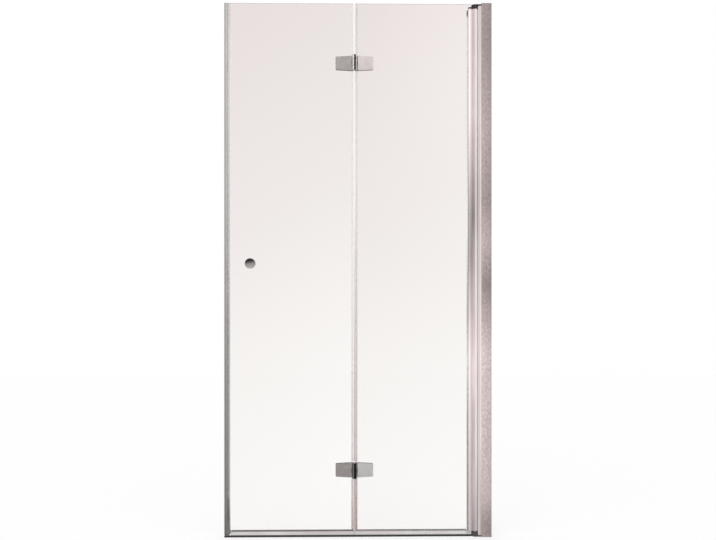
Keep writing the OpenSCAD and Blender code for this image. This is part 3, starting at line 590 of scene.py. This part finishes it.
def moulded(name, dark, light, rough, scale=(1400.0, 1400.0, 1400.0)):
    """Plastic or rubber: a fine grain over soft clouds."""
    tree, shader = new_finish(name, IOR=1.5)
    fine = grain(tree, scale)
    both = mixed(tree, fine, grain(tree, (35.0, 35.0, 35.0), 3.0), 0.5)
    coloured(tree, shader, both, dark, light)
    roughened(tree, shader, both, rough)
    relief(tree, shader, fine, 0.00003)


moulded("black_nylon", (0.010, 0.010, 0.011), (0.022, 0.021, 0.022), (0.36, 0.52))
moulded("dusty_nylon", (0.035, 0.03, 0.03), (0.17, 0.145, 0.145), (0.5, 0.75), DUST)
moulded("white_nylon", (0.66, 0.65, 0.61), (0.76, 0.75, 0.72), (0.35, 0.5))
moulded("cover_plastic", (0.58, 0.58, 0.58), (0.70, 0.70, 0.70), (0.3, 0.45))
moulded("black_rubber", (0.03, 0.028, 0.03), (0.07, 0.066, 0.068), (0.55, 0.75), ALONG_RAIL)
moulded("dark_pad", (0.030, 0.027, 0.027), (0.075, 0.068, 0.068), (0.55, 0.75))
moulded("rail_gasket", (0.16, 0.135, 0.14), (0.28, 0.245, 0.25), (0.5, 0.7), ALONG_RAIL)
# Painted light: the pivot leaf's gasket is the same rubber as the folding leaf's, made paler.
moulded("rail_gasket_painted_light", (0.26, 0.235, 0.24), (0.40, 0.37, 0.375), (0.5, 0.7), ALONG_RAIL)
moulded("dark_magnet", (0.035, 0.035, 0.037), (0.065, 0.065, 0.068), (0.6, 0.8))
print("finishes with the moulded ones:", len(finishes))

# %% [markdown]
# ## The closing strip's vinyl
# The closing strip is grey vinyl drawn along its length, with faint lines. In the photograph it
# gets darker towards the tray, and its outer edge has painted shade that makes it darker than
# the rest.

# %% Closing vinyl
STRIP_LEVELS = [(0.02, 0.24), (0.15, 0.36), (0.65, 0.52), (0.95, 0.68), (1.2, 0.78), (1.85, 0.86)]
# Painted shade on the outer edge: where along X it starts and ends, and its shares there.
STRIP_EDGE_SHADE = (-0.4738, -0.4695, 0.3, 1.0)

tree, shader = new_finish("closing_vinyl", IOR=1.5)
lines = grain(tree, (1200.0, 1200.0, 6.0))
both = mixed(tree, lines, grain(tree, (90.0, 90.0, 14.0), 3.0), 0.4)
level = faded(tree, by_height(tree, STRIP_LEVELS), STRIP_EDGE_SHADE)
coloured(tree, shader, both, (0.86, 0.82, 0.81), (1.0, 0.97, 0.96), level)
roughened(tree, shader, lines, (0.3, 0.5))
relief(tree, shader, lines, 0.00003)
print("finishes:", sorted(finishes))

# %% [markdown]
# ## Dress the CAD solids
# Every solid of the frame gets the finish of the real piece. The list goes from each finish to
# the solids that wear it.

# %% Finish of every solid
WEARS = {
    "mottled_channel": ["wall_channel", "channel_cap"],
    "satin_lip": ["expander"],
    "satin_tube": ["carrier_profile"],
    "satin_rail": ["threshold", "pivot_rail", "folding_rail"],
    "chrome_painted_shade": [
        "upper_swing_wing", "lower_swing_wing", "upper_swing_clamp", "lower_swing_clamp",
        "upper_hinge_pin", "lower_hinge_pin", "hinge_pin_caps", "inner_knob",
    ],
    "chrome_painted_light": ["upper_fixed_wing", "upper_fixed_clamp"],
    "grey_chrome_painted_light": ["lower_fixed_wing", "lower_fixed_clamp"],
    "polished_knob": ["outer_knob"],
    "plain_steel": [
        "expander_screws", "block_screws", "pivot_pins", "upper_fixed_screws", "lower_fixed_screws",
        "upper_swing_screws", "lower_swing_screws", "knob_stud",
    ],
    "folding_pane_glass": ["folding_glass"],
    "pivot_pane_glass": ["pivot_glass"],
    "pivot_fold_seal": ["pivot_meeting_seal"],
    "folding_fold_seal": ["folding_meeting_seal"],
    "milky_wiper": ["pivot_rail_wiper", "folding_rail_wiper"],
    "black_nylon": ["top_pivot_block", "top_plug", "threshold_end_cap", "hinge_washers"],
    "dusty_nylon": ["bottom_pivot_block", "bottom_plug"],
    "white_nylon": [
        "pivot_bushes", "thrust_washer", "pivot_glass_sleeves", "folding_glass_sleeves", "knob_washers",
    ],
    "cover_plastic": ["screw_covers", "pivot_rail_caps", "folding_rail_caps"],
    "black_rubber": ["threshold_seal"],
    "glazing_vinyl": ["glazing_gasket"],
    "rail_gasket": ["folding_rail_gasket"],
    "rail_gasket_painted_light": ["pivot_rail_gasket"],
    "dark_pad": ["upper_fixed_pads", "lower_fixed_pads", "upper_swing_pads", "lower_swing_pads"],
    "closing_vinyl": ["magnetic_seal", "magnetic_seal_ends"],
    "dark_magnet": ["magnet_strip"],
}


def wear(piece, finish_name):
    """Gives a piece one finish all over."""
    piece.data.materials.clear()
    piece.data.materials.append(finishes[finish_name])


for finish_name, wearers in WEARS.items():
    for node in wearers:
        wear(nodes[node], finish_name)
bare = sorted(set(nodes) - {node for wearers in WEARS.values() for node in wearers})
print("solids without a finish:", bare)

# %% [markdown]
# ## Real edges
# No drawn, moulded or machined part has a perfectly sharp edge: each has a small radius that
# catches a line of light. A copy of the solid is merged, its flat faces are made whole again
# and its edges are rounded with a Bevel modifier. Weighted normals then keep the large faces
# flat, so that only the narrow radius bends the light. The copy stands for the solid and keeps
# every hole and fit where the CAD model has it.

# %% Helpers for pieces
BODY_OF = {node: nodes[node]["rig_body"] for node in nodes}


def only(piece):
    """Selects this piece alone, in object mode."""
    if bpy.context.mode != "OBJECT":
        bpy.ops.object.mode_set(mode="OBJECT")
    bpy.ops.object.select_all(action="DESELECT")
    piece.select_set(True)
    bpy.context.view_layer.objects.active = piece


def applied(piece, kind, **settings):
    """Adds a modifier with these settings and applies it."""
    only(piece)
    modifier = piece.modifiers.new(kind.lower(), kind)
    for setting, value in settings.items():
        setattr(modifier, setting, value)
    bpy.ops.object.modifier_apply(modifier=modifier.name)


def stand_for(piece, finish_name, *replaced):
    """The finished piece rides with the solids that it stands for."""
    if finish_name:
        wear(piece, finish_name)
    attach(piece, BODY_OF[replaced[0]])
    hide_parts(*replaced)


# %% Helpers for rounded copies
MERGE_WITHIN = 0.000002
FLAT_WITHIN = math.radians(0.4)
ROUND_OVER = math.radians(28)
SMOOTH_UNDER = math.radians(32)


def merged_copy(node):
    """A copy of a solid with shared corners and whole flat faces."""
    piece = nodes[node].copy()
    piece.data = nodes[node].data.copy()
    piece.parent = None
    del piece["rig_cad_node"]
    piece.name = node + "_finished"
    bpy.context.scene.collection.objects.link(piece)
    only(piece)
    bpy.ops.object.mode_set(mode="EDIT")
    bpy.ops.mesh.select_all(action="SELECT")
    bpy.ops.mesh.remove_doubles(threshold=MERGE_WITHIN)
    bpy.ops.mesh.dissolve_limited(angle_limit=FLAT_WITHIN)
    bpy.ops.object.mode_set(mode="OBJECT")
    return piece


def rounded_copy(node, radius, steps=2):
    """A merged copy whose edges have this radius in metres."""
    piece = merged_copy(node)
    applied(
        piece, "BEVEL", width=radius, segments=steps, limit_method="ANGLE", angle_limit=ROUND_OVER,
        use_clamp_overlap=True,
    )
    bpy.ops.object.shade_smooth_by_angle(angle=SMOOTH_UNDER)
    applied(piece, "WEIGHTED_NORMAL", keep_sharp=True)
    stand_for(piece, None, node)
    return piece


# %% Rounded copies
EDGE_RADIUS = {
    0.0004: [
        "wall_channel", "channel_cap", "threshold", "threshold_end_cap", "hinge_pin_caps",
        "upper_hinge_pin", "lower_hinge_pin",
    ],
    0.00025: [
        "expander", "carrier_profile", "pivot_rail", "folding_rail", "pivot_rail_caps",
        "folding_rail_caps", "magnetic_seal_ends", "knob_washers", "hinge_washers",
    ],
    0.0005: ["top_pivot_block", "bottom_pivot_block", "top_plug", "bottom_plug"],
    0.0007: ["upper_fixed_wing", "upper_swing_wing", "lower_fixed_wing", "lower_swing_wing"],
    0.0006: ["upper_fixed_clamp", "upper_swing_clamp", "lower_fixed_clamp", "lower_swing_clamp"],
    0.00015: [
        "upper_fixed_screws", "lower_fixed_screws", "upper_swing_screws", "lower_swing_screws",
        "block_screws", "expander_screws", "magnetic_seal",
    ],
}
rounded = {}
for radius, solids in EDGE_RADIUS.items():
    for node in solids:
        rounded[node] = rounded_copy(node, radius)
print("rounded copies:", len(rounded), "faces:", sum(len(p.data.polygons) for p in rounded.values()))

# %% [markdown]
# ## Glass edges
# A toughened pane has its edges ground and its corners broken, so each edge is a dull grey-green
# band with a thin bright line beside it. The faces at the rim get that finish of their own.

# %% Panes
PANE_EDGE, RIM_FACING = 0.0004, 0.6


def second_finish(piece, finish_name, belongs):
    """Gives the faces that belong to it a finish of their own."""
    piece.data.materials.append(finishes[finish_name])
    index = len(piece.data.materials) - 1
    chosen = [face for face in piece.data.polygons if belongs(face.center, face.normal)]
    for face in chosen:
        face.material_index = index
    print(piece.name, finish_name, "faces:", len(chosen), "of", len(piece.data.polygons))


for node in ("folding_glass", "pivot_glass"):
    pane = rounded_copy(node, PANE_EDGE, 1)
    second_finish(pane, "ground_glass_edge", lambda at, facing: abs(facing.y) < RIM_FACING)

# %% [markdown]
# ## Two finishes on one piece
# Some pieces carry more than one finish. The jaw of the leaf's profile has a painted
# highlight that makes it brighter than its tube, and the fold where the tube runs in its cup
# has a painted highlight too. The barrel of each hinge is polished, the scoop beside it has
# painted shade, and the closing strip is drawn from grey vinyl for its head and clear vinyl
# for the clip that grips the glass. The faces are picked by where their middle lies and the
# way that they face.

# %% Second finishes
JAW_END, FOLD_START, CUP_END = 0.4052, 0.417, 0.4345
CLIP_START = -0.4648
BARREL_REACH = 0.0089
SCOOP_START, SCOOP_END, SCOOP_FRONT = -0.009, 0.001, -0.003
SCOOP_FACING_X, SCOOP_FACING_Y = -0.2, -0.3


def on_barrel(at, facing):
    """Whether a face is part of the hinge's round barrel."""
    return math.hypot(at.x - PIN_X, at.y - PIN_Y) < BARREL_REACH


def in_scoop(at, facing):
    """Whether a face is part of the hollow beside the barrel."""
    faces_barrel = facing.x < SCOOP_FACING_X and facing.y < SCOOP_FACING_Y
    return faces_barrel and SCOOP_START < at.x < SCOOP_END and at.y < SCOOP_FRONT


# The jaw's own finish is a painted highlight.
second_finish(rounded["carrier_profile"], "satin_jaw_painted_highlight", lambda at, facing: at.x < JAW_END)
# Painted highlights where the tube runs in its cup.
second_finish(rounded["carrier_profile"], "fold_painted_highlight", lambda at, facing: at.x > FOLD_START)
second_finish(rounded["expander"], "cup_painted_highlight", lambda at, facing: at.x < CUP_END)
second_finish(rounded["magnetic_seal"], "clear_clip", lambda at, facing: at.x > CLIP_START)
for level in ("upper", "lower"):
    for kind in ("fixed", "swing"):
        second_finish(rounded[f"{level}_{kind}_wing"], "polished_barrel", on_barrel)
    second_finish(rounded[f"{level}_fixed_wing"], "scoop_painted_shade", in_scoop)

# %% [markdown]
# ## Finishes that end at a level
# Only the top plug's upper part shows black above the tube. At its foot the closing strip's
# clip is filled with the grey of the strip's head. So each mesh is first cut level there, with
# no change to its form, and the faces on one side of the cut take the other finish.

# %% Level cuts
COLLAR_Z = 1.8832
FILLED_Z = 0.024


def cut_level(piece, level):
    """Adds a loop of edges where a level plane meets the piece."""
    only(piece)
    bpy.ops.object.mode_set(mode="EDIT")
    bpy.ops.mesh.select_all(action="SELECT")
    bpy.ops.mesh.bisect(plane_co=(0.0, 0.0, level), plane_no=(0.0, 0.0, 1.0))
    bpy.ops.object.mode_set(mode="OBJECT")


cut_level(rounded["top_plug"], COLLAR_Z)
second_finish(rounded["top_plug"], "satin_tube", lambda at, facing: at.z < COLLAR_Z)
cut_level(rounded["magnetic_seal"], FILLED_Z)
second_finish(
    rounded["magnetic_seal"], "closing_vinyl",
    lambda at, facing: at.x > CLIP_START and at.z < FILLED_Z,
)

# %% [markdown]
# ## Modelling tools
# The knobs, the screw covers, the ribbed seal and the strip's foot are modelled by hand. Each
# starts as a primitive of the right size at its place on the door. Its faces and edges are
# picked by the way they face and how far along they lie, then inset, extruded or bevelled.

# %% Starting and picking
def start_at_place(name, add, **settings):
    """Adds a primitive and bakes its place into its mesh."""
    bpy.ops.object.select_all(action="DESELECT")
    add(**settings)
    piece = bpy.context.object
    piece.name = name
    bpy.ops.object.transform_apply(location=True, rotation=True, scale=True)
    return piece


def pick_faces(piece, belongs):
    """Leaves the piece in edit mode with only these faces selected."""
    only(piece)
    bpy.ops.object.mode_set(mode="EDIT")
    bpy.ops.mesh.select_mode(type="FACE")
    bpy.ops.mesh.select_all(action="DESELECT")
    bpy.ops.object.mode_set(mode="OBJECT")
    for face in piece.data.polygons:
        face.select = belongs(face.center, face.normal)
    bpy.ops.object.mode_set(mode="EDIT")


def pick_edges(piece, belongs):
    """Leaves the piece in edit mode with only these edges selected."""
    only(piece)
    bpy.ops.object.mode_set(mode="EDIT")
    bpy.ops.mesh.select_mode(type="EDGE")
    bpy.ops.mesh.select_all(action="DESELECT")
    bpy.ops.object.mode_set(mode="OBJECT")
    corners = piece.data.vertices
    for edge in piece.data.edges:
        edge.select = belongs(corners[edge.vertices[0]].co, corners[edge.vertices[1]].co)
    bpy.ops.object.mode_set(mode="EDIT")


# %% Drawing out and smoothing
# How much of a face's direction lies along an axis when it is picked for facing that way.
FACES_ALONG, FACES_NEARLY = 0.99, 0.9
TOUCHING = 1e-5


def push(distance):
    """Extrudes what is selected along Y."""
    bpy.ops.mesh.extrude_region_move(TRANSFORM_OT_translate={"value": (0.0, distance, 0.0)})


def smoothed(piece, degrees):
    """Back to object mode, with normals outwards and only sharp edges left sharp."""
    bpy.ops.mesh.select_all(action="SELECT")
    bpy.ops.mesh.normals_make_consistent(inside=False)
    bpy.ops.object.mode_set(mode="OBJECT")
    bpy.ops.object.shade_smooth_by_angle(angle=math.radians(degrees))
    applied(piece, "WEIGHTED_NORMAL", keep_sharp=True)
    print(piece.name, "faces:", len(piece.data.polygons))
    return piece


# %% [markdown]
# ## The knobs
# A turned brass knob screws to each side of the glass: a foot against its washer, a narrow
# neck for the fingers, and a round head with a rolled rim and a slightly crowned face. A head
# is a short cylinder. Its back is inset and drawn out into the neck and foot, its rim is
# bevelled, a fine groove is sunk inside the rim, and insets that each rise a little less
# build up the crown.

# %% Measures of the knobs
WASHER_FACE = 0.004
NECK_R, FOOT_R = 0.0085, 0.0105
ROLL, CROWN, CROWN_STEPS = 0.0025, 0.0024, 7
HEAD_BACK, BACK_STEP, NECK_TAPER, NECK_STEM = 0.56, 0.05, 0.12, 0.39
BACK_RIM, NECK_FLARE = 0.0015, 0.001
FOOT_TALL, FOOT_RIM = 0.0025, 0.0015
GROOVE_WIDE, GROOVE_DEEP = 0.0004, 0.0003
KNOB_LONG = 0.025
INNER_R, INNER_LONG = 0.0155, 0.016


def crown_height(share):
    """How far the crown stands up at this share of its radius."""
    return CROWN * (1.0 - share * share)


# %% Knobs
def turned_knob(name, side, radius, length):
    """side is -1 for the room and 1 for the shower; length is from the washer to the crown."""
    foot_y = side * WASHER_FACE
    brow_y = foot_y + side * (length - CROWN)
    head_y = foot_y + side * length * HEAD_BACK
    knob = start_at_place(
        name, bpy.ops.mesh.primitive_cylinder_add, vertices=96, radius=radius,
        depth=abs(brow_y - head_y), location=(KNOB_X, (brow_y + head_y) / 2, KNOB_Z),
        rotation=(math.radians(90), 0.0, 0.0),
    )
    pick_faces(knob, lambda at, facing: facing.y * side < -FACES_NEARLY)
    bpy.ops.mesh.inset(thickness=BACK_RIM)
    push(-side * length * BACK_STEP)
    bpy.ops.mesh.inset(thickness=radius - BACK_RIM - NECK_R - NECK_FLARE)
    push(-side * length * NECK_TAPER)
    bpy.ops.mesh.inset(thickness=NECK_FLARE)
    push(-side * (length * NECK_STEM - FOOT_TALL))
    push(-side * NECK_FLARE)
    grow = FOOT_R / NECK_R
    bpy.ops.transform.resize(value=(grow, 1.0, grow), center_override=(KNOB_X, foot_y, KNOB_Z))
    push(-side * FOOT_RIM)

    def on_rim(corner):
        from_middle = math.hypot(corner.x - KNOB_X, corner.z - KNOB_Z)
        return abs(corner.y - brow_y) < TOUCHING and from_middle > radius - TOUCHING

    pick_edges(knob, lambda a, b: on_rim(a) and on_rim(b))
    bpy.ops.mesh.bevel(offset=ROLL, segments=6, affect="EDGES")
    pick_faces(
        knob, lambda at, facing: facing.y * side > FACES_ALONG and abs(at.y - brow_y) < TOUCHING)
    bpy.ops.mesh.inset(thickness=GROOVE_WIDE, depth=-GROOVE_DEEP)
    bpy.ops.mesh.inset(thickness=GROOVE_WIDE, depth=GROOVE_DEEP)
    reach = radius - ROLL - 2 * GROOVE_WIDE
    for step in range(1, CROWN_STEPS):
        outer, inner = 1.0 - (step - 1) / CROWN_STEPS, 1.0 - step / CROWN_STEPS
        bpy.ops.mesh.inset(
            thickness=reach / CROWN_STEPS, depth=crown_height(inner) - crown_height(outer))
    return smoothed(knob, 32)


outer_knob = turned_knob("outer_knob_turned", -1, KNOB_R, KNOB_LONG)
stand_for(outer_knob, "polished_knob", "outer_knob")
inner_knob = turned_knob("inner_knob_turned", 1, INNER_R, INNER_LONG)
stand_for(inner_knob, "chrome_painted_shade", "inner_knob")

# %% [markdown]
# ## Screw covers
# Three round plastic caps snap over the screws that hold the expander in the channel. Each is
# a shallow button with a soft edge, a raised ring and a small dimple, modelled once at the
# lowest screw and copied up. The copies are joined, so that one piece stands for them all.

# %% Screw cover
COVER_X, COVER_BACK, COVER_R, COVER_TALL = 0.451, 0.017, 0.0055, 0.0029
COVER_FACE, COVER_ROUND = 0.0198, 0.0010
COVER_HEIGHTS = (0.2, 0.95, 1.7)
# From the rim inwards: how wide each ring of the face is, and how far it rises or sinks.
COVER_RINGS = ((0.0003, 0.0003), (0.0009, 0.0003), (0.0012, -0.0002), (0.0008, -0.0004))

cover = start_at_place(
    "screw_covers_domed", bpy.ops.mesh.primitive_cylinder_add, vertices=64, radius=COVER_R,
    depth=COVER_TALL, location=(COVER_X, COVER_BACK + COVER_TALL / 2, COVER_HEIGHTS[0]),
    rotation=(math.radians(90), 0.0, 0.0),
)
pick_edges(cover, lambda a, b: min(a.y, b.y) > COVER_FACE)
bpy.ops.mesh.bevel(offset=COVER_ROUND, segments=5, affect="EDGES")
pick_faces(cover, lambda at, facing: facing.y > FACES_ALONG and at.y > COVER_FACE)
for wide, rise in COVER_RINGS:
    bpy.ops.mesh.inset(thickness=wide, depth=rise)
smoothed(cover, 40)

# %% Copies of the cover
copies = []
for level in COVER_HEIGHTS[1:]:
    twin = cover.copy()
    twin.data = cover.data.copy()
    bpy.context.scene.collection.objects.link(twin)
    twin.location.z = level - COVER_HEIGHTS[0]
    only(twin)
    bpy.ops.object.transform_apply(location=True)
    copies.append(twin)
only(cover)
for twin in copies:
    twin.select_set(True)
bpy.ops.object.join()
stand_for(cover, "cover_plastic", "screw_covers")
print("screw covers:", [round(v, 4) for v in cover.bound_box[0]], [round(v, 4) for v in cover.bound_box[6]])

# %% [markdown]
# ## The threshold's soft front
# A black rubber lip along the front of the threshold seals it to the tray. Its face is drawn
# with fine ribs. It starts as a block. Level cuts by bisect divide its face into strips, the
# ribs, and every second strip is pushed in.

# %% Ribbed lip
LIP_X0, LIP_X1 = -0.473, 0.4047
LIP_FRONT, LIP_BACK, LIP_TOP = -0.0075, -0.0030, 0.006
LIP_ROUND = 0.0012
RIB, RIB_CUTS, RIBS_TOP = 0.0005, 9, 0.0045
RIB_EDGE, RIB_DEEP = 0.00008, 0.0003

ribbed = start_at_place(
    "threshold_seal_ribbed", bpy.ops.mesh.primitive_cube_add, size=1.0,
    location=((LIP_X0 + LIP_X1) / 2, (LIP_FRONT + LIP_BACK) / 2, LIP_TOP / 2),
    scale=(LIP_X1 - LIP_X0, LIP_BACK - LIP_FRONT, LIP_TOP),
)
pick_edges(
    ribbed, lambda a, b: min(a.z, b.z) > LIP_TOP - TOUCHING and max(a.y, b.y) < LIP_FRONT + TOUCHING)
bpy.ops.mesh.bevel(offset=LIP_ROUND, segments=4, affect="EDGES")
bpy.ops.mesh.select_all(action="SELECT")
for level in range(1, RIB_CUTS + 1):
    bpy.ops.mesh.bisect(plane_co=(0.0, 0.0, level * RIB), plane_no=(0.0, 0.0, 1.0))
    bpy.ops.mesh.select_all(action="SELECT")
pick_faces(
    ribbed,
    lambda at, facing: facing.y < -FACES_ALONG and at.z < RIBS_TOP and int(at.z / RIB) % 2 == 1,
)
bpy.ops.mesh.inset(thickness=RIB_EDGE, depth=-RIB_DEEP)
smoothed(ribbed, 30)
stand_for(ribbed, "black_rubber", "threshold_seal")

# %% [markdown]
# ## The foot of the closing strip
# A soft foot closes the corner between the strip and the threshold: in the photograph the
# strip's grey reaches right down to the black lip. It starts as a block. Its lower face is
# drawn in, its underside gets two grooves and its edges are rounded.

# %% Closing foot
FOOT_X0, FOOT_X1 = -0.4747, -0.4575
FOOT_TOP, FOOT_LOW, FOOT_WIDE = 0.0110, 0.0068, 0.0094
FOOT_DRAWN_IN, FOOT_ROUND = 0.6, 0.0002
SLOT_INNER, SLOT_OUTER = 0.0009, 0.0018
SLOT_EDGE, SLOT_DEEP = 0.0001, 0.0006

foot_x = (FOOT_X0 + FOOT_X1) / 2
foot = start_at_place(
    "closing_foot", bpy.ops.mesh.primitive_cube_add, size=1.0,
    location=(foot_x, 0.0, (FOOT_TOP + FOOT_LOW) / 2),
    scale=(FOOT_X1 - FOOT_X0, FOOT_WIDE, FOOT_TOP - FOOT_LOW),
)
pick_faces(foot, lambda at, facing: facing.z < -FACES_NEARLY)
bpy.ops.transform.resize(value=(1.0, FOOT_DRAWN_IN, 1.0), center_override=(foot_x, 0.0, FOOT_LOW))
bpy.ops.mesh.select_all(action="SELECT")
for across in (-SLOT_OUTER, -SLOT_INNER, SLOT_INNER, SLOT_OUTER):
    bpy.ops.mesh.bisect(plane_co=(0.0, across, 0.0), plane_no=(0.0, 1.0, 0.0))
    bpy.ops.mesh.select_all(action="SELECT")
pick_faces(
    foot, lambda at, facing: facing.z < -FACES_NEARLY and SLOT_INNER < abs(at.y) < SLOT_OUTER)
bpy.ops.mesh.inset(thickness=SLOT_EDGE, depth=-SLOT_DEEP)
applied(
    foot, "BEVEL", width=FOOT_ROUND, segments=2, limit_method="ANGLE", angle_limit=math.radians(50))
bpy.ops.object.mode_set(mode="EDIT")
smoothed(foot, 30)
wear(foot, "closing_vinyl")
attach(foot, BODY_OF["magnetic_seal"])
